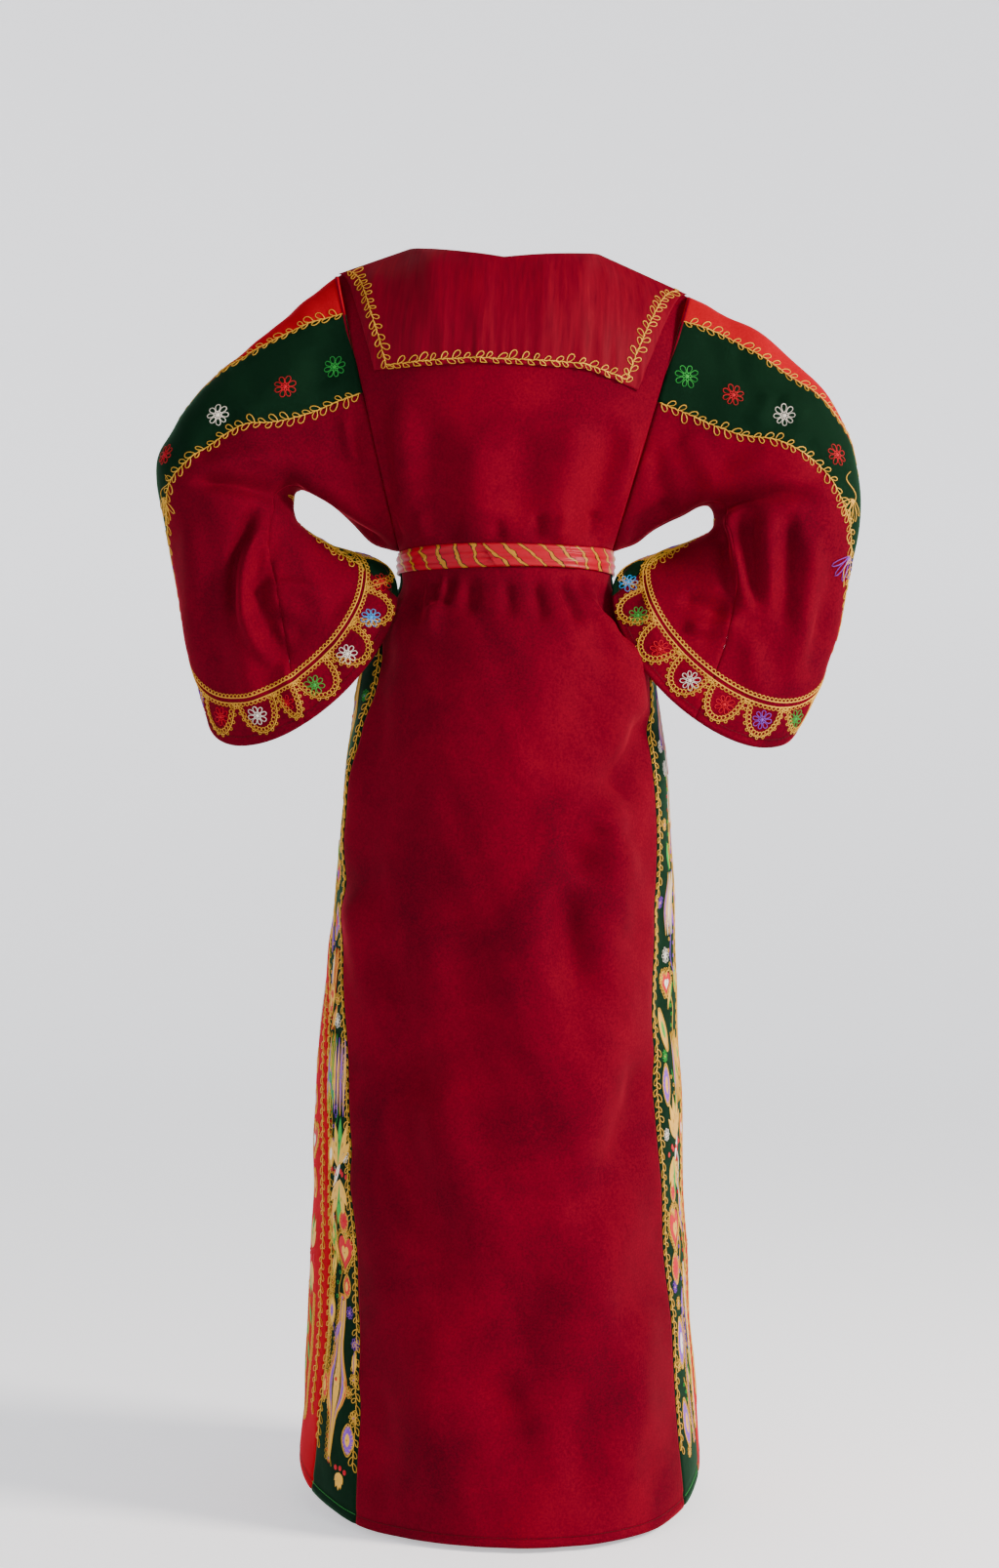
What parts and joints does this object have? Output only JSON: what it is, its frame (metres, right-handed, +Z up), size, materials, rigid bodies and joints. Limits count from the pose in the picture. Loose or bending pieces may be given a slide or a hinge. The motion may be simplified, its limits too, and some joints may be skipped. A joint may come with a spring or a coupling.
{
  "type": "thobe dress",
  "caption": "Long velvet dress with wide sleeves, green side strips, a square satin back yoke, gold braid and a satin sash, in the hollow form it takes when worn",
  "frame": {"origin": "between the shoulders, at the height of the neck line, in the middle of the body", "axes": "+Z up along the length, -Y towards the chest, +Y towards the back, +X towards the wearer's left"},
  "size_m": [0.7746, 0.5, 1.3912],
  "materials": {
    "velvet_red": "dark red cotton velvet, cut pile",
    "velvet_bright": "bright red cotton velvet, cut pile",
    "velvet_green": "dark green cotton velvet, cut pile",
    "satin_red": "red satin weave, creased",
    "sash_red": "red satin weave with woven gold bars",
    "gold_braid": "couched gold thread braid"
  },
  "bodies": {
    "root": {"back_panel": "velvet_red", "braid_left_back_lower": "gold_braid", "braid_left_back_upper": "gold_braid", "braid_left_front_lower": "gold_braid", "braid_left_front_upper": "gold_braid", "braid_right_back_lower": "gold_braid", "braid_right_back_upper": "gold_braid", "braid_right_front_lower": "gold_braid", "braid_right_front_upper": "gold_braid", "cuff_braid_left": "gold_braid", "cuff_braid_right": "gold_braid", "front_panel": "velvet_bright", "sash": "sash_red", "sash_end": "sash_red", "side_strip_left": "velvet_green", "side_strip_right": "velvet_green", "sleeve_left_back_lower": "velvet_red", "sleeve_left_back_stripe": "velvet_green", "sleeve_left_front_lower": "velvet_red", "sleeve_left_front_stripe": "velvet_green", "sleeve_left_top_stripe": "velvet_bright", "sleeve_right_back_lower": "velvet_red", "sleeve_right_back_stripe": "velvet_green", "sleeve_right_front_lower": "velvet_red", "sleeve_right_front_stripe": "velvet_green", "sleeve_right_top_stripe": "velvet_bright", "yoke_braid": "gold_braid", "yoke_flap": "satin_red"}
  },
  "joints": []
}
